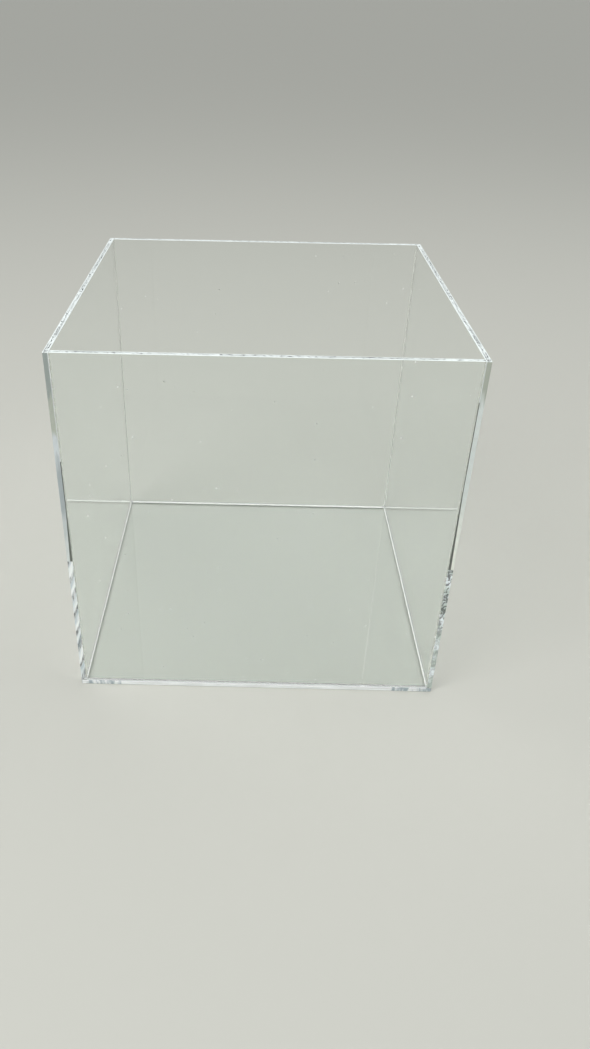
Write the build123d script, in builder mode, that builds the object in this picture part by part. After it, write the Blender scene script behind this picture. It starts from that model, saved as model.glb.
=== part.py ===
from build123d import *
import os

# Acrylic display cube, open at the top: five cut and polished sheets of clear acrylic, solvent
# cemented edge to face. Millimetres. +Z is up, +X is right, the front faces -Y, and the origin
# is the centre of the underside.

# Driving dimensions
cube_width = 300.0  # outside, left to right
cube_depth = 300.0  # outside, front to back
cube_height = 300.0  # underside of the base to the rim
sheet = 4.0  # thickness of the acrylic sheet that every panel is cut from
bond = 0.1  # cured cement between two panels
bead = 0.8  # leg of the cement fillet in each inside corner
bead_hollow = 0.12  # how far the face of that fillet sinks below a straight bevel
arris = 0.3  # rounding left on the exposed edges by flame polishing

# Planes that the panels share, worked out from the sizes above
outer_x = cube_width / 2
outer_y = cube_depth / 2
inner_x = outer_x - sheet
inner_y = outer_y - sheet
wall_foot = sheet + bond  # the walls stand on the cement, and the cement on the base
wall_height = cube_height - wall_foot
seam_top = cube_height - arris  # the corner cement ends level with the start of the rounding

SIDES = (("left", -1), ("right", 1))
ENDS = (("front", -1), ("back", 1))

os.makedirs("parts", exist_ok=True)


def save(piece, name):
    """Labels a finished piece and writes it as the STEP file of that node."""
    piece.part.label = name
    export_step(piece.part, f"parts/{name}.step")


# Base panel: the full footprint, with its four corners and the edge it rests on rounded
with BuildPart() as base_panel:
    with BuildSketch(Plane.XY):
        Rectangle(cube_width, cube_depth)
    extrude(amount=sheet)
    uprights = base_panel.edges().filter_by(Axis.Z)
    underside = base_panel.faces().sort_by(Axis.Z)[0].edges()
    fillet(uprights + underside, radius=arris)
save(base_panel, "base_panel")

# Side panels: full depth, standing on the base. Their polished ends show at the front and back.
for side, sign in SIDES:
    with BuildPart() as side_panel:
        with BuildSketch(Plane.XY.offset(wall_foot)):
            with Locations((sign * (outer_x - sheet / 2), 0)):
                Rectangle(sheet, cube_depth)
        extrude(amount=wall_height)
        uprights = side_panel.edges().filter_by(Axis.Z)
        outer_uprights = uprights.sort_by(Axis.X)[:2] if sign < 0 else uprights.sort_by(Axis.X)[-2:]
        rim = side_panel.faces().sort_by(Axis.Z)[-1].edges()
        fillet(outer_uprights + rim, radius=arris)
    save(side_panel, f"{side}_panel")

# Front and back panels: between the side panels, a cement line short of them at each end
for end, sign in ENDS:
    with BuildPart() as end_panel:
        with BuildSketch(Plane.XY.offset(wall_foot)):
            with Locations((0, sign * (outer_y - sheet / 2))):
                Rectangle(2 * (inner_x - bond), sheet)
        extrude(amount=wall_height)
        rim = end_panel.faces().sort_by(Axis.Z)[-1].edges().filter_by(Axis.X)
        fillet(rim, radius=arris)
    save(end_panel, f"{end}_panel")


def bead_section(corner, first_way, second_way):
    """The section of a cement fillet: a right angle at corner, its legs along two unit directions,
    and a slightly hollow face between their ends."""
    first = Vector(*corner) + Vector(*first_way) * bead
    second = Vector(*corner) + Vector(*second_way) * bead
    halfway = (first + second) / 2
    deepest = halfway + (Vector(*corner) - halfway).normalized() * bead_hollow
    with BuildSketch() as section:
        with BuildLine():
            Polyline(first, Vector(*corner), second)
            ThreePointArc(second, deepest, first)
        make_face()
    return section.sketch


# Base seams under the side panels: the cement film over the full depth, and its fillet inside.
# The plane looks along -Y, so that its x is the model's x and its y is the model's z.
for side, sign in SIDES:
    with BuildPart() as side_base_seam:
        with BuildSketch(Plane.XY.offset(sheet)):
            with Locations((sign * (outer_x - sheet / 2), 0)):
                Rectangle(sheet, cube_depth)
        extrude(amount=bond)
        with BuildSketch(Plane.XZ):
            add(bead_section((sign * inner_x, sheet), (-sign, 0), (0, 1)))
        extrude(amount=inner_y, both=True)
    save(side_base_seam, f"{side}_base_seam")

# Base seams under the front and back panels: between the side panels, with the fillet stopping
# at the side seams' fillets. The plane's x is the model's y and its y is the model's z.
for end, sign in ENDS:
    with BuildPart() as end_base_seam:
        with BuildSketch(Plane.XY.offset(sheet)):
            with Locations((0, sign * (outer_y - sheet / 2))):
                Rectangle(2 * inner_x, sheet)
        extrude(amount=bond)
        with BuildSketch(Plane.YZ):
            add(bead_section((sign * inner_y, sheet), (-sign, 0), (0, 1)))
        extrude(amount=inner_x - bead, both=True)
    save(end_base_seam, f"{end}_base_seam")

# Upright corner seams: the film between the end of a front or back panel and the side panel,
# and the fillet inside the corner, which starts above the base seams' fillets.
for end, end_sign in ENDS:
    for side, side_sign in SIDES:
        with BuildPart() as corner_seam:
            with BuildSketch(Plane.XY.offset(wall_foot)):
                with Locations((side_sign * (inner_x - bond / 2), end_sign * (outer_y - sheet / 2))):
                    Rectangle(bond, sheet)
            extrude(amount=seam_top - wall_foot)
            corner = (side_sign * inner_x, end_sign * inner_y)
            with BuildSketch(Plane.XY.offset(sheet + bead)):
                add(bead_section(corner, (-side_sign, 0), (0, -end_sign)))
            extrude(amount=seam_top - sheet - bead)
        save(corner_seam, f"{end}_{side}_corner_seam")

print("outside", cube_width, cube_depth, cube_height)
print("inside", 2 * inner_x, 2 * inner_y, cube_height - sheet)
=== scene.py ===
# %% [markdown]
# # A clear acrylic display cube
# The object is five sheets of clear cast acrylic, cemented edge to face into a cube that is open
# at the top. Almost nothing of it has a colour of its own. It is seen by its machined edges, by
# the cement in its joints, and by how each sheet bends and mirrors what is behind it. So the
# work goes into four finishes (faces, scraped edges, polished ends, cement) and into the small
# shapes that carry them.
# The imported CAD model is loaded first, and every place below is read from it.

# %% Load the frame
import math
import random

import bpy
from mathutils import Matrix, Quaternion, Vector, noise


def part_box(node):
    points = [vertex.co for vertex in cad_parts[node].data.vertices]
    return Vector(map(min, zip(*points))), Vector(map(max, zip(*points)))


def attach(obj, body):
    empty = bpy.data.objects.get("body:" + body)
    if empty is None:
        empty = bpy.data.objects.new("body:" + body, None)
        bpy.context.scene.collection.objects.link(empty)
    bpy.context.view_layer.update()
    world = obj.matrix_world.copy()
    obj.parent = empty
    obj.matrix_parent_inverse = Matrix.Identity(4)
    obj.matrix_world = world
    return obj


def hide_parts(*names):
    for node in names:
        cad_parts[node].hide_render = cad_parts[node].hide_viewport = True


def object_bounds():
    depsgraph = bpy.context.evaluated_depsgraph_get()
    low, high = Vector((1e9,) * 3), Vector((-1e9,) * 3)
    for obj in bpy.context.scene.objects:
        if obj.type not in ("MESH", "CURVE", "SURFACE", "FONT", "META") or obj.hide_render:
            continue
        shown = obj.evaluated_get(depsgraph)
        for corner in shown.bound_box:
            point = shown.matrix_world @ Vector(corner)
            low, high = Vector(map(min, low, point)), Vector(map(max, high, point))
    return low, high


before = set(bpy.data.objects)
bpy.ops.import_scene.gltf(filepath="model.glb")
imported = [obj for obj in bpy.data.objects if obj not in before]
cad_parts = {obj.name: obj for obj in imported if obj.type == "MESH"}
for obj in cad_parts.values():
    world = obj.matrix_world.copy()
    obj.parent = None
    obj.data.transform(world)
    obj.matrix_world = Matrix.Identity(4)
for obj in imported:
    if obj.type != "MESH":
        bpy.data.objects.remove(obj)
cad_low, cad_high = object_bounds()
print("CAD box", [round(v, 4) for v in (*cad_low, *cad_high)])

# %% Sizes that the CAD model gives
MM = 0.001
base_low, base_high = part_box("base_panel")
left_low, left_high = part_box("left_panel")
front_low, front_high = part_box("front_panel")
seam_low, seam_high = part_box("front_left_corner_seam")
sheet = left_high.x - left_low.x  # thickness of every sheet
bond = left_low.z - base_high.z  # cement between two sheets
bead = seam_high.x - left_high.x  # leg of the cement fillet in a corner
print("sheet", round(sheet / MM, 2), "bond", round(bond / MM, 2), "bead", round(bead / MM, 2), "mm")

# %% [markdown]
# ## Camera
# The cube is seen from the front and well above. A camera held by hand is never quite square to
# its subject: this one is turned half a degree to the left and leans one degree, and the cube
# sits a little left of the middle. A small sideways shift of the lens gives that framing, because
# turning the camera further would change the perspective.

# %% Camera
camera_place = Vector((-9.1, -676.5, 507.2)) * MM
degrees_down = 32.89
degrees_left = 0.55
degrees_of_lean = 1.0
lens_mm = 28.6
sideways_shift = 0.05  # as a share of the picture's long side

camera = bpy.data.objects.new("camera", bpy.data.cameras.new("camera"))
bpy.context.scene.collection.objects.link(camera)
bpy.context.scene.camera = camera
camera.data.lens = lens_mm
camera.data.shift_x = sideways_shift
down, left = math.radians(degrees_down), math.radians(degrees_left)
look = Vector((-math.sin(left) * math.cos(down), math.cos(left) * math.cos(down), -math.sin(down)))
camera.rotation_mode = "QUATERNION"
lean = Quaternion((0, 0, 1), math.radians(degrees_of_lean))
camera.rotation_quaternion = look.to_track_quat("-Z", "Y") @ lean
camera.location = camera_place
middle = (cad_low + cad_high) / 2
print("camera", round((camera_place - middle).length, 3), "m from the middle of the cube")

# %% [markdown]
# ## Two helpers for materials
# Colours are written as the hex values that a paint chart or a picture editor shows. Blender works
# in linear light, so one function turns them. Another adds a shader node with its settings and
# its inputs in one call, so that each material below reads as a list of what feeds what.


# %% Colour and node helpers
def linear(hex_colour):
    """The linear RGBA of an sRGB hex colour."""
    parts = [int(hex_colour[i : i + 2], 16) / 255 for i in (1, 3, 5)]
    return (*[c / 12.92 if c <= 0.04045 else ((c + 0.055) / 1.055) ** 2.4 for c in parts], 1.0)


def add(tree, kind, inputs=(), **settings):
    """Adds a shader node of this kind. inputs says what feeds it, in the order of its sockets or by
    their names: another node, one output of a node, or a plain value."""
    node = tree.nodes.new("ShaderNode" + kind)
    for name, value in settings.items():
        setattr(node, name, value)
    named = inputs if isinstance(inputs, dict) else dict(enumerate(inputs))
    for name, value in named.items():
        if isinstance(value, bpy.types.Node):
            value = value.outputs[0]
        if isinstance(value, bpy.types.NodeSocket):
            tree.links.new(value, node.inputs[name])
        else:
            node.inputs[name].default_value = value
    return node


def new_material(name):
    """A material with an empty tree. Returns both."""
    material = bpy.data.materials.new(name)
    material.use_nodes = True
    material.node_tree.nodes.clear()
    return material, material.node_tree


print("mid grey is", round(linear("#808080")[0], 3), "in linear light")

# %% [markdown]
# ## Floor and light
# A clear object shows what surrounds it, so the surroundings are kept plain. The floor is matt
# painted board in a pale grey-green, which is what is seen through the sheets. It lies a tenth
# of a millimetre below the base: two surfaces in one plane would fight over each ray, and a
# real sheet rests on a few high points anyway. One very large soft lamp hangs above, and lights the
# thin white seams from straight over them, so that they cast hardly any shadow through the base. A
# brighter one stands in front on the left, and lights the edges that face the front. Acrylic
# mirrors a low lamp across from the viewer as a white patch, so none stands on the right or behind.
# The sky is pale grey and brighter above. Low down it takes the colour of the far floor, so that
# no line shows where the two meet.

# %% Floor
floor_gap = 0.1 * MM
floor_reach = 400.0

floor_finish, tree = new_material("matt_painted_board")
paint = {"Base Color": linear("#C2C2BA"), "Roughness": 0.9, "Specular IOR Level": 0.2}
add(tree, "OutputMaterial", (add(tree, "BsdfPrincipled", paint),))
floor_mesh = bpy.data.meshes.new("floor")
signs = ((-1, -1), (1, -1), (1, 1), (-1, 1))
corners = [(x * floor_reach, y * floor_reach, -floor_gap) for x, y in signs]
floor_mesh.from_pydata(corners, [], [(0, 1, 2, 3)])
floor_mesh.materials.append(floor_finish)
floor = bpy.data.objects.new("floor", floor_mesh)
bpy.context.scene.collection.objects.link(floor)
print("floor at", round(floor.data.vertices[0].co.z / MM, 2), "mm")


# %% Lamps and sky
def soft_lamp(name, place, size, watts):
    """A square area lamp aimed at the middle of the cube."""
    lamp = bpy.data.objects.new(name, bpy.data.lights.new(name, "AREA"))
    bpy.context.scene.collection.objects.link(lamp)
    lamp.data.size = size
    lamp.data.energy = watts
    lamp.location = place
    towards = middle - Vector(place)
    lamp.rotation_mode = "QUATERNION"
    lamp.rotation_quaternion = towards.to_track_quat("-Z", "Y")
    print(name, watts, "W,", round(towards.length, 2), "m away")


soft_lamp("top_lamp", (0.6, 0.2, 2.0), 2.0, 11.0)
soft_lamp("key_lamp", (-1.5, -1.5, 1.9), 1.5, 36.0)

world = bpy.data.worlds.new("even_sky")
bpy.context.scene.world = world
world.use_nodes = True
tree = world.node_tree
tree.nodes.clear()
way_up = add(tree, "SeparateXYZ", (add(tree, "TexCoord").outputs["Generated"],)).outputs["Z"]
low_strength, high_strength = 0.42, 0.86
brighter_above = add(tree, "MapRange", (way_up, -0.1, 0.9, low_strength, high_strength))
haze_top = 0.14  # the upward part of the direction where the haze ends: 8 degrees up
above_haze = add(tree, "MapRange", (way_up, 0.0, haze_top))
sky_colours = {0: above_haze, 6: linear("#E6E7DE"), 7: linear("#F2F4F5")}
sky_colour = add(tree, "Mix", sky_colours, data_type="RGBA").outputs[2]
sky = add(tree, "Background", {"Color": sky_colour, "Strength": brighter_above})
add(tree, "OutputWorld", (sky,))

# %% [markdown]
# Light in a clear sheet can bounce from face to face dozens of times before it leaves by an
# edge, and a path that is cut short shows as a black streak. So the number of bounces is raised
# for glass and mirrors. The colours are shown as they are, without a film look.

# %% Light paths
cycles = bpy.context.scene.cycles
cycles.max_bounces = 40
cycles.transmission_bounces = 40
cycles.glossy_bounces = 16
cycles.transparent_max_bounces = 16
cycles.blur_glossy = 0.0
bpy.context.scene.view_settings.view_transform = "Standard"
print("bounces", cycles.max_bounces)

# %% [markdown]
# ## Finish 1: cast acrylic face
# The sheet is cast between polished glass plates, so its faces are almost as flat and glossy as
# glass, with an IOR of 1.49. What gives away a real sheet is slight: a breath of green-grey where
# two walls are looked through, a slow waviness from the casting, and a few specks of dust. One
# Principled shader carries all of it. The tint sits in its base colour, so light pays it on
# passing through a face, while light that is caught inside the sheet stays bright and makes the
# edges glow, as on the real one. The specks are drawn several times as coarse as dust,
# to show at all.

# %% Cast acrylic face
acrylic_ior = 1.49
wave_width, wave_depth = 70 * MM, 0.4 * MM
speck_spacing = 12 * MM
speck_radius = 0.5 * MM
share_with_speck = 0.6  # of the cells, each as wide as the spacing

cast_face, tree = new_material("cast_acrylic_face")
place = add(tree, "TexCoord").outputs["Object"]
waves = add(tree, "TexNoise", {"Vector": place, "Scale": 1 / wave_width, "Detail": 1.0})
specks = add(tree, "TexVoronoi", {"Vector": place, "Scale": 1 / speck_spacing})
near = add(tree, "Math", (specks, speck_radius / speck_spacing), operation="LESS_THAN")
lot = add(tree, "SeparateColor", (specks.outputs["Color"],))
drawn = add(tree, "Math", (lot, share_with_speck), operation="LESS_THAN")
dust = add(tree, "Math", (near, drawn), operation="MULTIPLY")
tint = {0: dust, 6: linear("#FBFDFC"), 7: linear("#FFFFFF")}
look_of_face = {
    "Base Color": add(tree, "Mix", tint, data_type="RGBA").outputs[2],
    "Roughness": 0.0,
    "IOR": acrylic_ior,
    "Transmission Weight": add(tree, "MapRange", (dust, 0.0, 1.0, 1.0, 0.1)),
    "Normal": add(tree, "Bump", {"Height": waves, "Strength": 0.15, "Distance": wave_depth}),
}
add(tree, "OutputMaterial", (add(tree, "BsdfPrincipled", look_of_face),))
print("waves", round(wave_width / MM), "mm wide, specks about", round(speck_spacing / MM), "mm apart")

# %% [markdown]
# ## Finish 2: scraped edge
# The rims and the edges of the base are sawn and scraped, and left at that. A scraped edge is
# covered in fine marks along its length that scatter light, so it shows as a white line with a
# cool cast, not as a window. The two rounded borders are made the whitest, a painted highlight
# where the rounding catches light. Between them a mark is missing here and there, and the eye
# looks down into the sheet, which is dark. So white and clear are mixed by a pattern: long streaks,
# and short grains. The pattern follows the edge, so it needs to know how far along and how far
# across each point is. The mesh brings that as an attribute named rim, in metres. Its third number
# marks the ends of the base's edges, where the saw left bars across. The base was scraped more evenly
# than the rims.

# %% Scraped edges
streak_length, streak_width = 28 * MM, 1.6 * MM
grain_length, grain_width = 4.5 * MM, 1.1 * MM
bar_width, bar_height = 4.5 * MM, 14 * MM
# Painted highlight: the border of an edge is made whiter, where the rounding catches light.
border, border_end = 0.55 * MM, 0.88 * MM  # the white border of an edge, and where it has faded


def tool_marks(tree, rim, length, width):
    """A pattern of marks this long and this wide, laid along the rim."""
    place = add(tree, "VectorMath", (rim, (1 / length, 1 / width, 0.0)), operation="MULTIPLY")
    return add(tree, "TexNoise", {"Vector": place, "Scale": 1.0, "Detail": 2.0})


def scraped_edge(name, colour, clearest_streak, clearest_grain):
    """The finish of a scraped edge, with streaks and grains up to this clear."""
    material, tree = new_material(name)
    rim = add(tree, "Attribute", attribute_name="rim").outputs["Vector"]
    parts = add(tree, "SeparateXYZ", (rim,))
    streaks = tool_marks(tree, rim, streak_length, streak_width)
    hazy = add(tree, "MapRange", (streaks, 0.4, 0.66, 0.05, clearest_streak))
    grains = tool_marks(tree, rim, grain_length, grain_width)
    bare = add(tree, "MapRange", (grains, 0.53, 0.6, 0.0, clearest_grain))
    clear = add(tree, "Math", (hazy, bare), operation="MAXIMUM")
    # Painted highlight: toward each rounded border the edge is made less clear, so whiter.
    off_middle = add(tree, "Math", (parts.outputs["Y"], sheet / 2), operation="SUBTRACT")
    off_middle = add(tree, "Math", (off_middle,), operation="ABSOLUTE")
    fade = (off_middle, sheet / 2 - border_end, sheet / 2 - border, 1.0, 0.12)
    inside = add(tree, "MapRange", fade)
    clear = add(tree, "Math", (clear, inside), operation="MULTIPLY")
    bars = tool_marks(tree, rim, bar_width, bar_height)
    bars = add(tree, "MapRange", (bars, 0.42, 0.58, 0.0, 1.0))
    bars = add(tree, "Math", (bars, parts.outputs["Z"]), operation="MULTIPLY")
    barred = {0: bars, 6: linear(colour), 7: linear("#B7C4CA")}
    cloud = add(tree, "Math", (bars, 0.2), operation="MULTIPLY")
    look = {
        "Base Color": add(tree, "Mix", barred, data_type="RGBA").outputs[2],
        "Roughness": 0.25,
        "IOR": acrylic_ior,
        "Transmission Weight": add(tree, "Math", (clear, cloud), operation="MAXIMUM"),
    }
    add(tree, "OutputMaterial", (add(tree, "BsdfPrincipled", look),))
    print(name, "has streaks", round(streak_length / MM), "mm and grains", grain_length / MM, "mm long")
    return material


rim_finish = scraped_edge("scraped_acrylic_edge_rim", "#F4FCFA", 0.55, 0.95)
foot_finish = scraped_edge("scraped_acrylic_edge_foot", "#FCFFFF", 0.25, 0.0)

# %% [markdown]
# ## Finish 3: polished end
# The upright ends of the side walls were polished with a flame. It melts the marks away, so the
# end becomes a window again, but an uneven one. How clear it is changes by stretches up the wall,
# and a ramp from the foot to the rim says that: its alpha is how clear it is, and its colours are
# the haze that is left, with painted shade and painted reflection in its greys and blue-greys. A
# thin inner line of the end is coloured dark grey below line_top and grows into a long dark wedge;
# above line_top it is a painted highlight, white where the rounding catches light. The flame
# stopped short of the lower third: there the edge is rippled glass with white scraped bands on
# it. The shape of the ripple is in the mesh, and this material adds the bands.

# %% What both ends share
unpolished_height = 128.5 * MM  # the flame stopped here on the front ends
haze_length, haze_width = 22 * MM, 3 * MM
wall_height = left_high.z
thin_share, wedge_share = 0.14, 0.48  # how much of the width the inner line and its wedge take


def polished_end(name, stops, line_top, wedge_top, outer_side, bands):
    """The finish of an upright end. stops lists, from the foot up, millimetres, colour and how
    clear; its colours are haze together with painted shade and painted reflection. A dark line
    starts at line_top and grows into a wedge below wedge_top, and above line_top the line is a
    painted highlight. outer_side is 0 where the sheet's outer face is its low one, else 1. bands
    makes the unpolished part."""
    material, tree = new_material(name)
    rim = add(tree, "Attribute", attribute_name="rim").outputs["Vector"]
    parts = add(tree, "SeparateXYZ", (rim,))
    height = add(tree, "SeparateXYZ", (add(tree, "TexCoord").outputs["Object"],)).outputs["Z"]
    haze = tool_marks(tree, rim, haze_length, haze_width)
    uneven = add(tree, "Math", (haze, 0.12, -0.06), operation="MULTIPLY_ADD")
    up = add(tree, "Math", (height, 1 / wall_height, uneven), operation="MULTIPLY_ADD")
    # Painted shade and painted reflection: the ramp's greys stand for what the clear end shows at each
    # height; its pale colours are haze.
    ramp = add(tree, "ValToRGB", (up,))
    elements = ramp.color_ramp.elements
    for element, stop in ((elements[0], stops[0]), (elements[1], stops[-1])):
        element.position = stop[0] * MM / wall_height
        element.color = (*linear(stop[1])[:3], stop[2])
    for millimetres, colour, clear in stops[1:-1]:
        elements.new(millimetres * MM / wall_height).color = (*linear(colour)[:3], clear)
    share = add(tree, "Math", (parts.outputs["Y"], 1 / sheet, -outer_side), operation="MULTIPLY_ADD")
    inward = add(tree, "Math", (share,), operation="ABSOLUTE")
    spread = (height, wedge_top, unpolished_height, 1 - thin_share, 1 - wedge_share)
    wedge = add(tree, "Math", (inward, add(tree, "MapRange", spread)), operation="GREATER_THAN")
    # Painted highlight: the thin inner line is white above line_top, where the rounding catches light.
    # Below it, the line and its wedge are coloured dark grey.
    inner_highlight_mask = add(tree, "Math", (height, line_top), operation="GREATER_THAN")
    inner = {0: inner_highlight_mask, 6: linear("#6A6F68"), 7: linear("#F2F8F7")}
    inner = add(tree, "Mix", inner, data_type="RGBA").outputs[2]
    shade = {0: wedge, 6: ramp.outputs["Color"], 7: inner}
    shade = add(tree, "Mix", shade, data_type="RGBA").outputs[2]
    window = add(tree, "Mix", {0: wedge, 2: ramp.outputs["Alpha"], 3: 0.25})
    below = parts.outputs["Z"]
    white, clear = bands(tree, parts, height)
    colour = add(tree, "Mix", {0: below, 6: shade, 7: white}, data_type="RGBA").outputs[2]
    look = {
        "Base Color": colour,
        "Roughness": 0.06,
        "IOR": acrylic_ior,
        "Transmission Weight": add(tree, "Mix", {0: below, 2: window, 3: clear}),
    }
    add(tree, "OutputMaterial", (add(tree, "BsdfPrincipled", look),))
    print(name, "changes at", [stop[0] for stop in stops], "mm")
    return material


# %% [markdown]
# On the left wall the scraper was twisted as it went down, and left slanting flutes, as on a
# rope. A triangle wave of the height, shifted by how far across a point is, gives their bands.
# The same numbers shape the flutes in the mesh later, so that the two agree.

# %% Left end: slanting bands
flute = 17.6 * MM  # from one flute to the next
first_flute = 11 * MM  # down from where the flame stopped
slant = 2.6  # how much a flute climbs for each step across


def slanting_bands(tree, parts, height):
    """The white of the unpolished part, and how clear it is: clear in the hollow of each flute."""
    start = unpolished_height - first_flute
    climb = add(tree, "Math", (parts.outputs["Y"], slant, start), operation="MULTIPLY_ADD")
    climb = add(tree, "Math", (climb, height), operation="SUBTRACT")
    across = add(tree, "CombineXYZ", (climb, parts.outputs["Y"]))
    wander = add(tree, "TexNoise", {"Vector": across, "Scale": 1 / (9 * MM), "Detail": 1.0})
    phase = add(tree, "Math", (climb, 1 / flute, wander), operation="MULTIPLY_ADD")
    phase = add(tree, "Math", (phase, 0.5), operation="SUBTRACT")
    wave = add(tree, "Math", (phase, 0.5), operation="PINGPONG")
    hollow = add(tree, "MapRange", (wave, 0.18, 0.34, 0.03, 0.85))
    lines = tool_marks(tree, across, 12 * MM, 0.8 * MM)
    lines = add(tree, "MapRange", (lines, 0.42, 0.56, 0.3, 1.0))
    cool = {0: add(tree, "MapRange", (wander, 0.4, 0.65)), 6: linear("#FAFEFD"), 7: linear("#C4D0D5")}
    white = add(tree, "Mix", cool, data_type="RGBA").outputs[2]
    return white, add(tree, "Math", (hollow, lines), operation="MULTIPLY")


# Pale stops are haze; the blue-grey and grey stops are painted shade and painted reflection.
left_stops = [
    (0, "#E2E9E8", 0.2),
    (150, "#E2E9E8", 0.2),
    (176, "#B9C3C7", 0.25),
    (208, "#B9C3C7", 0.25),
    (220, "#E4ECF0", 0.25),
    (236, "#E4ECF0", 0.25),
    (243, "#C6CCC0", 0.3),
    (263, "#C6CCC0", 0.3),
    (269, "#A0A9A6", 0.15),
    (300, "#A0A9A6", 0.15),
]
line_top, wedge_top, outer_side = 217 * MM, 176 * MM, 0.0
slanted_end = polished_end(
    "flamed_acrylic_edge_slant", left_stops, line_top, wedge_top, outer_side, slanting_bands
)

# %% [markdown]
# On the right wall the melt boiled and curled. A noise that is bent by its own distortion gives
# curls. They are strong under the polished part and fade into a calm pale haze further down.

# %% Right end: curled bands
curl_size = 5.5 * MM
blotch_size = 14 * MM


def curling_bands(tree, parts, height):
    """The white of the unpolished part, and how clear it is: curls that fade downwards."""
    place = add(tree, "CombineXYZ", (height, parts.outputs["Y"]))
    bent = {"Vector": place, "Scale": 1 / curl_size, "Detail": 1.0, "Distortion": 2.0}
    curls = add(tree, "TexNoise", bent)
    clear = add(tree, "MapRange", (curls, 0.42, 0.57, 0.02, 0.85))
    calm = add(tree, "MapRange", (height, 55 * MM, 88 * MM, 0.4, 1.0))
    blotches = add(tree, "TexNoise", {"Vector": place, "Scale": 1 / blotch_size, "Detail": 1.0})
    cool = {0: add(tree, "MapRange", (blotches, 0.42, 0.6)), 6: linear("#C6D1CB"), 7: linear("#F2F9FC")}
    white = add(tree, "Mix", cool, data_type="RGBA").outputs[2]
    return white, add(tree, "Math", (clear, calm), operation="MULTIPLY")


# Pale stops are haze; the grey stop at the top is painted shade and painted reflection.
right_stops = [
    (0, "#FAFEF4", 0.15),
    (150, "#FAFEF4", 0.15),
    (200, "#ECF4F2", 0.2),
    (264, "#ECF4F2", 0.2),
    (280, "#C2C8BC", 0.3),
    (300, "#C2C8BC", 0.3),
]
line_top, wedge_top, outer_side = 270 * MM, 200 * MM, 1.0
curled_end = polished_end(
    "flamed_acrylic_edge_curl", right_stops, line_top, wedge_top, outer_side, curling_bands
)

# %% [markdown]
# ## Finish 4: cured cement
# Solvent cement melts a film of both sheets and dries clear. In the film it is as clear as the
# sheet, but for flat voids where it didn't reach. The small fillet that squeezes out into the
# corner dries with fine bubbles in it along the base, and reads as a creamy white line there. In
# the upright corners it ran down before it set, and what is left is nearly clear. The long voids
# of a dry stretch are lined in a matt, nearly opaque dark grey.

# %% Cured cement
froth_size, froth_depth = 2.5 * MM, 0.1 * MM


def cement(name, colour, roughness, least_clear, most_clear):
    """A material for cured cement. It is as clear as given, and varies with the froth in it."""
    material, tree = new_material(name)
    place = add(tree, "TexCoord").outputs["Object"]
    froth = add(tree, "TexNoise", {"Vector": place, "Scale": 1 / froth_size, "Detail": 3.0})
    look = {
        "Base Color": linear(colour),
        "Roughness": roughness,
        "IOR": acrylic_ior,
        "Transmission Weight": add(tree, "MapRange", (froth, 0.35, 0.65, most_clear, least_clear)),
        "Normal": add(tree, "Bump", {"Height": froth, "Strength": 0.4, "Distance": froth_depth}),
    }
    add(tree, "OutputMaterial", (add(tree, "BsdfPrincipled", look),))
    print(name, "is", least_clear, "to", most_clear, "clear")
    return material


clear_film = cement("cured_cement_film", "#FCFDFC", 0.02, 0.97, 1.0)
milky_fillet = cement("cured_cement_frothy_fillet", "#FFFFFB", 0.2, 0.0, 0.12)
clear_fillet = cement("cured_cement_clear_fillet", "#FAFCF8", 0.1, 0.8, 0.98)
# The long voids of a dry stretch are lined in this matt dark grey.
dark_grey_void_lining = cement("matt_dark_grey_void_lining", "#5E6460", 0.5, 0.0, 0.25)

# %% [markdown]
# ## The five sheets
# A sheet could be a cube with a bevel, but its edges are what is seen, and they differ: the free
# ones are rounded and carry marks, and the cemented ones are crisp and flat. So each sheet is
# built as a band that runs round its rim, with a section that goes from one face, over the
# rounding, across the edge and down to the other face. Marks are real hollows in the band, always
# inwards, so that the sheet never grows past its CAD size. First come the marks.

# %% Marks on a free edge
rounding = 0.3 * MM  # on free edges
crisp = 0.02 * MM  # on cemented edges
unpolished_behind = 55 * MM  # the flame stopped here on the back ends
noise.seed_set(1)  # without a seed, noise vectors differ from run to run


def fold(phase):
    """A wave of straight slopes, from 0 to 1 and back."""
    return abs(2 * (phase % 1) - 1)


def scrape_mark(along, share, seed):
    """How deep the scraper cut, at a distance along an edge and a share of its width."""
    swing = noise.noise(Vector((along / (25 * MM), share, seed)))
    chatter = noise.noise(Vector((along / (4 * MM), share * 2, seed + 9)))
    return 0.02 * MM * (1 + 0.6 * swing + 0.4 * chatter)


def flamed_mark(along, share, seed):
    """What the flame left of the marks: long, very shallow waves."""
    return 0.004 * MM * (1 + noise.noise(Vector((along / (60 * MM), share * 0.3, seed))))


def twisted_mark(below, share, seed):
    """Slanting flutes, as on a twisted rope, at a distance below the polished part."""
    wander = noise.noise(Vector((below / (16 * MM), share * 0.4, seed)))
    climb = below - first_flute + share * slant * sheet
    flutes = fold(climb / flute + 0.2 * wander)
    lines = fold(climb / (flute / 4) + wander)
    return MM * (0.2 * flutes + 0.04 * lines)


def curled_mark(below, share, seed):
    """Small curls and pits, as on boiled glass, and a step where the flame stopped."""
    spot = Vector((below / (5 * MM), share * 1.6, seed))
    swirl = spot + 0.9 * noise.noise_vector(spot * 0.7)
    step = 0.25 * MM * math.exp(-below / (1.5 * MM))
    return 0.22 * MM * abs(noise.noise(swirl * 1.3)) + step


# %% [markdown]
# The rim of a sheet is followed as a list of stations, about a millimetre apart on free edges and
# a centimetre apart on cemented ones, where nothing shows. Where two free edges meet, the corner
# is rounded, seen face on. Each station knows its outward direction, so the section can be laid
# across it.

# %% Stations round a rim
corner_round = 0.5 * MM
free_step, cemented_step = 1.0 * MM, 10 * MM


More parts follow.
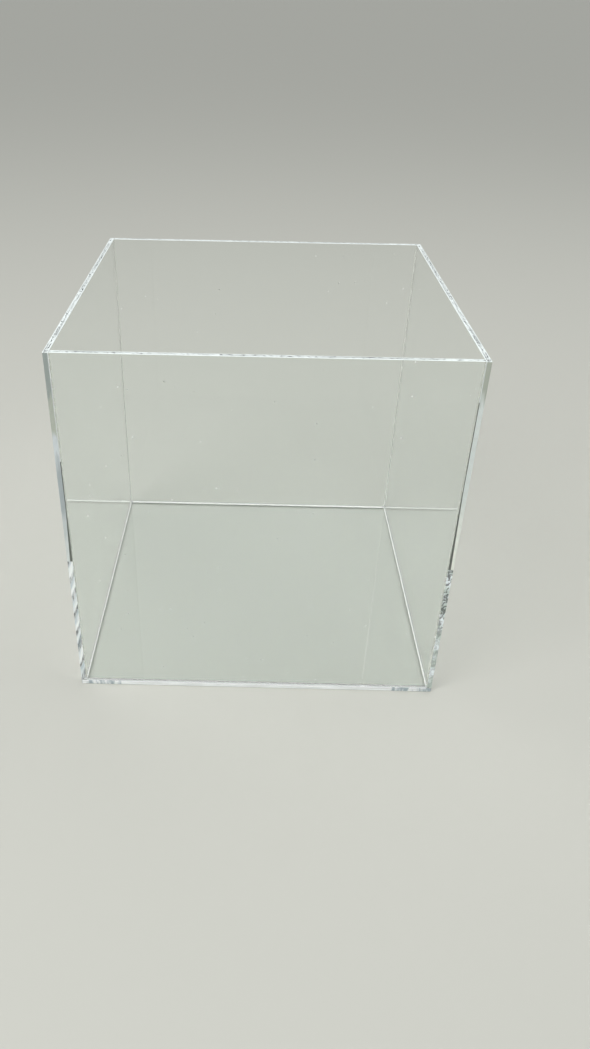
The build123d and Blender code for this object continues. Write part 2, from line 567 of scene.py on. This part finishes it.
def stations(low, high, free):
    """Goes anticlockwise round the rectangle from low to high, and lists for each station its
    place, its outward directions and the edge that follows it. free says which of the bottom,
    right, top and left edge are free."""
    corners = [Vector(low), Vector((high[0], low[1])), Vector(high), Vector((low[0], high[1]))]
    out = [Vector((0, -1)), Vector((1, 0)), Vector((0, 1)), Vector((-1, 0))]
    found = []
    for edge in range(4):
        start, end = corners[edge], corners[(edge + 1) % 4]
        before, after = (edge - 1) % 4, (edge + 1) % 4
        way = (end - start).normalized()
        length = (end - start).length
        round_start = corner_round * (free[before] and free[edge])
        round_end = corner_round * (free[edge] and free[after])
        if not round_start:
            found.append((start, (before, edge), edge))
        step = free_step if free[edge] else cemented_step
        count = round((length - round_start - round_end) / step)
        for k in range(0 if round_start else 1, count + (1 if round_end else 0)):
            place = start + way * (round_start + (length - round_start - round_end) * k / count)
            found.append((place, (edge,), edge))
        if round_end:
            centre = end - (way + out[edge]) * corner_round
            for turn in (30, 60):
                angle = math.radians(turn)
                normal = out[edge] * math.cos(angle) + way * math.sin(angle)
                found.append((centre + normal * corner_round, normal, edge))
    return found, out


# %% [markdown]
# At each station the section runs round one border, across the edge with its marks, and round the
# other border. Each of its points knows how deep in the sheet it lies, counted from the first face.

# %% Section across an edge
round_angles = [math.radians(a) for a in (0, 30, 60, 90)]
across = [k / 10 for k in range(1, 10)]  # where the flat of an edge has points


def rounding_at(sides, out, free):
    """How far a station's rounding reaches in, its radius, and if the edge is marked there."""
    if isinstance(sides, Vector):
        return sides * rounding, rounding, False
    radii = [rounding if free[side] else crisp for side in sides]
    inset = sum((out[side] * radius for side, radius in zip(sides, radii)), Vector((0, 0)))
    return inset, min(radii), free[sides[0]] and len(sides) == 1


def cross_section(place, outward, inset, radius, thickness, depths):
    """The points across an edge at a station, each with how deep in the sheet it lies. depths
    says how deep the marks are on the flat of the edge."""
    row = [(place - inset * (1 - math.sin(a)), radius * (1 - math.cos(a))) for a in round_angles]
    other_border = [(spot, thickness - depth_in) for spot, depth_in in reversed(row)]
    for share, depth in zip(across, depths):
        row.append((place - outward * depth, radius + (thickness - 2 * radius) * share))
    return row + other_border


# %% [markdown]
# The two faces close the band of sections. A face could be one large polygon, but a polygon with
# a thousand corners in line is cut into splinters later. So each station is joined to the nearest
# of four points inside the face, and those four make one plain rectangle.

# %% Close a face
inner_shares = ((0.1, 0.1), (0.9, 0.1), (0.9, 0.9), (0.1, 0.9))  # where the four points are


def quarter(place, near, far):
    """Which quarter of the rectangle a place is in, counted anticlockwise."""
    right = place.x > (near[0] + far[0]) / 2
    top = place.y > (near[1] + far[1]) / 2
    return (0, 1, 3, 2)[right + 2 * top]


def face_fan(path, ring, first, near, far):
    """The polygons of one face. ring is its border, and its four inner points come from first on."""
    joined = [first + quarter(place, near, far) for place, sides, edge in path]
    fan = [(first + 3, first + 2, first + 1, first)]
    for index in range(len(ring)):
        after = (index + 1) % len(ring)
        a, b, c, d = ring[index], ring[after], joined[index], joined[after]
        fan.append((b, a, c) if c == d else (b, a, c, d))
    return fan


# %% [markdown]
# Sheets and seams both become a mesh with several finishes, on an object that stands for its CAD
# node. Two small functions do that for both.


# %% Make a piece
def new_mesh(name, points, faces, finishes, finish_of_face):
    """A mesh with several finishes. finish_of_face says which one each face has."""
    mesh = bpy.data.meshes.new(name)
    mesh.from_pydata(points, [], faces)
    for material in finishes:
        mesh.materials.append(material)
    mesh.polygons.foreach_set("material_index", finish_of_face)
    return mesh


def stand_for(node, name, mesh):
    """Makes a piece of this mesh, to stand for a CAD node, and hides the node. Its finishes are the
    materials of the mesh.
    """
    mesh.update()
    piece = bpy.data.objects.new(name, mesh)
    bpy.context.scene.collection.objects.link(piece)
    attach(piece, "root")
    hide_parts(node)
    print(name, len(mesh.polygons), "faces")


# %% [markdown]
# Now a sheet can be built: a row of points for each station, the band between the rows, and the
# two faces. Each point's rim attribute says how far along and across the edge it lies, and if it
# is in a zone that has marks of its own: the unpolished part of an end, or a corner of the base.

# %% Build a sheet
FACE, SCRAPED, END = 0, 1, 2  # material slots of a sheet
BEHIND, AHEAD = 1, 3  # the upright edges of a side wall
bars_reach = 34 * MM  # how far the saw's bars come in from a corner of the base


def sheet_object(name, node, thin, free, edge_finish, end_finish=None, end_mark=None):
    """Builds one sheet in the box of its CAD node. thin is the axis across it, and free says which
    of its edges are free. With an end_finish, its upright edges are polished ends, marked below."""
    low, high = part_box(node)
    flat = [axis for axis in (0, 1, 2) if axis != thin]
    thickness = high[thin] - low[thin]
    seed = 10.0 * thin + low[thin] / MM
    near, far = (low[flat[0]], low[flat[1]]), (high[flat[0]], high[flat[1]])
    path, out = stations(near, far, free)
    points, rim, rows = [], [], []
    along = 0.0
    for index, (place, sides, edge) in enumerate(path):
        along += (place - path[index - 1][0]).length if index else 0.0
        is_end = end_finish is not None and edge in (BEHIND, AHEAD)
        below = (unpolished_height if edge == AHEAD else unpolished_behind) - place.y
        low_part = is_end and below > 0
        axis = 0 if edge in (0, 2) else 1
        to_corner = min(place[axis] - near[axis], far[axis] - place[axis])
        zone = float(low_part or (thin == 2 and to_corner < bars_reach))
        inset, radius, marked = rounding_at(sides, out, free)
        mark = end_mark if low_part else flamed_mark if is_end else scrape_mark
        mark_place = below if low_part else along
        depths = [mark(mark_place, share, seed) if marked else 0.0 for share in across]
        row = cross_section(place, out[edge], inset, radius, thickness, depths)
        rows.append(range(len(points), len(points) + len(row)))
        for spot, depth_in in row:
            point = [0.0, 0.0, 0.0]
            point[flat[0]], point[flat[1]], point[thin] = spot.x, spot.y, low[thin] + depth_in
            points.append(point)
            rim.append((along, depth_in, zone))
    faces, slots = [], []
    for index, row in enumerate(rows):
        after = rows[(index + 1) % len(rows)]
        edge = path[index][2]
        is_end = end_finish is not None and edge in (BEHIND, AHEAD)
        slot = (END if is_end else SCRAPED) if free[edge] else FACE
        faces += [(row[k], after[k], after[k + 1], row[k + 1]) for k in range(len(row) - 1)]
        slots += [slot] * (len(row) - 1)
    in_band = len(faces)
    for layer in (0, -1):
        ring = [row[layer] for row in rows]
        first = len(points)
        for p, q in inner_shares:
            point = list(points[ring[0]])
            point[flat[0]] = near[0] + (far[0] - near[0]) * p
            point[flat[1]] = near[1] + (far[1] - near[1]) * q
            points.append(point)
            rim.append((0, 0, 0))
        fan = face_fan(path, ring, first, near, far)
        faces += fan if layer == 0 else [face[::-1] for face in fan]
        slots += [FACE] * len(fan)
    mesh = new_mesh(name, points, faces, (cast_face, edge_finish, end_finish or edge_finish), slots)
    mesh.polygons.foreach_set("use_smooth", [k < in_band for k in range(len(faces))])
    rim_numbers = mesh.attributes.new("rim", "FLOAT_VECTOR", "POINT")
    rim_numbers.data.foreach_set("vector", [number for three in rim for number in three])
    if thin == 1:
        mesh.flip_normals()
    stand_for(node, name, mesh)


# %% [markdown]
# The base has four free edges. A side wall is free all round but for its foot, and its two upright
# ends are polished. The front and back walls are free only at the rim, because their ends are
# cemented between the side walls.

# %% All five sheets
all_free = (True, True, True, True)  # bottom, right, top, left, seen face on
free_but_foot = (False, True, True, True)
free_at_rim = (False, False, True, False)
sheet_object("base_sheet", "base_panel", 2, all_free, foot_finish)
sheet_object("left_sheet", "left_panel", 0, free_but_foot, rim_finish, slanted_end, twisted_mark)
sheet_object("right_sheet", "right_panel", 0, free_but_foot, rim_finish, curled_end, curled_mark)
sheet_object("front_sheet", "front_panel", 1, free_at_rim, rim_finish)
sheet_object("back_sheet", "back_panel", 1, free_at_rim, rim_finish)

# %% [markdown]
# ## The eight cement seams
# Each seam is a film between two sheets and a fillet in the inside corner. The real film leaves no
# gap, and light goes straight through it. Two clear meshes with a hair of air between them would
# mirror instead, so the film reaches two hundredths of a millimetre into the sheets on both sides:
# a ray then enters the film before it leaves the sheet, and comes out as if the joint were one
# piece. Voids are flat closed blisters inside the film with their faces turned inwards, which is
# how an empty space inside a solid is built, and they do mirror. A stretch where hardly any
# cement went in is a row of long voids.

# %% Voids in a film
void_sides = 12


def blister(points, faces, centre, ways, halves, chance):
    """Adds a flat closed void with an uneven outline. ways are its three directions, halves its
    half sizes along them."""
    first = len(points)
    outline = [1 + 0.35 * (chance.random() - 0.5) for _ in range(void_sides)]
    for lift, scale in ((-1, 0.75), (0, 1.0), (1, 0.75)):
        for k in range(void_sides):
            turn = 2 * math.pi * k / void_sides
            offset = ways[0] * (math.cos(turn) * halves[0]) + ways[1] * (math.sin(turn) * halves[1])
            points.append(centre + offset * outline[k] * scale + ways[2] * (lift * halves[2]))
    for ring in (0, 1):
        for k in range(void_sides):
            a, b = first + ring * void_sides + k, first + ring * void_sides + (k + 1) % void_sides
            faces.append((a, a + void_sides, b + void_sides, b))
    faces.append([first + k for k in range(void_sides)])
    faces.append([first + 2 * void_sides + k for k in reversed(range(void_sides))])


# %% Scatter voids and dry stretches
longest_void, widest_void = 3 * MM, 0.6 * MM  # half sizes
void_thickness = 0.3  # of the film's, as a half size


def scatter_voids(points, faces, start, ways, length, void_gap, chance):
    """Adds voids all along a film, about void_gap apart."""
    along, inward, up = ways
    for _ in range(round(length / void_gap)):
        half = 0.35 * MM * math.exp(chance.gauss(0, 0.6))
        centre = start + along * chance.uniform(4 * MM, length - 4 * MM)
        centre += inward * chance.uniform(0.25, 0.75) * sheet + up * (bond / 2)
        long_half = min(half * chance.uniform(1.2, 4.0), longest_void)
        halves = (long_half, min(half, widest_void), bond * void_thickness)
        blister(points, faces, centre, ways, halves, chance)


def dry_row(points, faces, start, ways, stretch, chance):
    """Adds a row of long voids that leaves hardly any cement in a stretch of a film."""
    along, inward, up = ways
    s = stretch[0]
    while s < stretch[1]:
        half = chance.uniform(4, 11) * MM
        centre = start + along * (s + half) + inward * (sheet / 2) + up * (bond / 2)
        halves = (half, sheet * chance.uniform(0.36, 0.42), bond * void_thickness)
        blister(points, faces, centre, ways, halves, chance)
        s += 2 * half + 0.6 * MM


# %% [markdown]
# Across the seam, the fillet is a hollow curve between its two legs. Along it, the leg wanders,
# because the cement is drawn by hand with a needle, and it tapers off at both ends.

# %% Section of a seam
reach_in = 0.02 * MM
taper = 2 * MM
leg_wander = 40 * MM  # how far along a leg keeps its size


def leg_at(s, fillet, leg_size, seed):
    """The fillet's leg at a distance along the seam."""
    leg = 0.0
    if fillet[0] <= s <= fillet[1]:
        ends = min(1.0, (s - fillet[0]) / taper + 0.15, (fillet[1] - s) / taper + 0.15)
        wander = noise.noise(Vector((s / leg_wander, seed, 0)))
        leg = leg_size * ends * (0.9 + 0.08 * wander)
    return max(leg, reach_in * 1.5)


def seam_profile(leg):
    """The outline of a seam with this leg: how far in from the outer face, and how far up."""
    foot, head = sheet + leg, bond + leg
    profile = [(reach_in, -reach_in), (foot, -reach_in)]
    for share in (0.25, 0.5, 0.75):
        sag = 0.55 * share * (1 - share) * leg
        rise = (head + reach_in) * share - reach_in
        profile.append((foot - share * (leg + reach_in) - sag, rise - sag))
    top = bond + reach_in
    return profile + [(sheet - reach_in, head), (sheet - reach_in, top), (reach_in, top)]


# %% [markdown]
# A seam is a tube of such outlines with closed ends, and its voids inside.

# %% Build a seam
section_step = 1.5 * MM
FILM, FILLET, DRY = 0, 1, 2  # material slots of a seam


def seam_object(name, node, start, ways, length, fillet, fillet_finish, leg_size, void_gap, dry=()):
    """Builds one seam. start is the outer corner of the film. ways are its length, the way across
    the film into the cube, and the way from one sheet to the other. fillet says from where to
    where it has one, void_gap is the way from void to void, and dry lists the stretches that the
    cement missed."""
    chance = random.Random(name)
    seed = chance.uniform(0, 50)
    along, inward, up = ways
    points, faces, slots = [], [], []
    steps = round(length / section_step)
    sections = sorted({length * k / steps for k in range(steps + 1)} | set(fillet))
    for s in sections:
        profile = seam_profile(leg_at(s, fillet, leg_size, seed))
        points += [start + along * s + inward * u + up * v for u, v in profile]
    width = len(profile)
    for k in range(len(sections) - 1):
        for j in range(width):
            a, b = k * width + j, k * width + (j + 1) % width
            faces.append((a, a + width, b + width, b))
            slots.append(FILLET if 1 <= j <= 5 else FILM)
    faces.append(list(range(width)))
    faces.append([len(points) - width + k for k in reversed(range(width))])
    scatter_voids(points, faces, start, ways, length, void_gap, chance)
    slots += [FILM] * (len(faces) - len(slots))
    for stretch in dry:
        dry_row(points, faces, start, ways, stretch, chance)
    slots += [DRY] * (len(faces) - len(slots))
    mesh = new_mesh(name, points, faces, (clear_film, fillet_finish, dark_grey_void_lining), slots)
    if along.cross(inward).dot(up) < 0:
        mesh.flip_normals()
    stand_for(node, name, mesh)


# %% Seams along the base
X, Y, Z = Vector((1, 0, 0)), Vector((0, 1, 0)), Vector((0, 0, 1))
depth, inner_x = base_high.y - base_low.y, -left_high.x
wide_gap, narrow_gap = 40 * MM, 12 * MM  # from void to void: few along the base, where it was pressed

for side, sign in (("left", 1), ("right", -1)):
    start = Vector((sign * base_low.x, base_low.y, base_high.z))
    fillet = (sheet, depth - sheet)
    name, node = f"{side}_base_cement", f"{side}_base_seam"
    seam_object(name, node, start, (Y, X * sign, Z), depth, fillet, milky_fillet, bead, wide_gap)

base_legs = {"front": 1.0, "back": 1.35}  # more cement ran down at the back
for end, sign in (("front", 1), ("back", -1)):
    start = Vector((-inner_x, sign * base_low.y, base_high.z))
    fillet = (bead, 2 * inner_x - bead)
    name, node = f"{end}_base_cement", f"{end}_base_seam"
    leg = bead * base_legs[end]
    seam_object(name, node, start, (X, Y * sign, Z), 2 * inner_x, fillet, milky_fillet, leg, wide_gap)

# %% [markdown]
# The upright seams carry the clear fillet, and a smaller one. Two of them have dry stretches.

# %% Upright seams
height = seam_high.z - seam_low.z
dry_stretches = {"front_right": [(122 * MM, 250 * MM)], "front_left": [(122 * MM, 210 * MM)]}
leg_sizes = {"back_right": 1.0}
for end, end_sign in (("front", 1), ("back", -1)):
    for side, side_sign in (("left", 1), ("right", -1)):
        corner = f"{end}_{side}"
        start = Vector((-side_sign * inner_x, end_sign * base_low.y, seam_low.z))
        ways = (Z, Y * end_sign, X * side_sign)
        fillet, dry = (bead, height), dry_stretches.get(corner, ())
        name, node = f"{corner}_corner_cement", f"{corner}_corner_seam"
        leg = bead * leg_sizes.get(corner, 0.6)
        seam_object(name, node, start, ways, height, fillet, clear_fillet, leg, narrow_gap, dry)
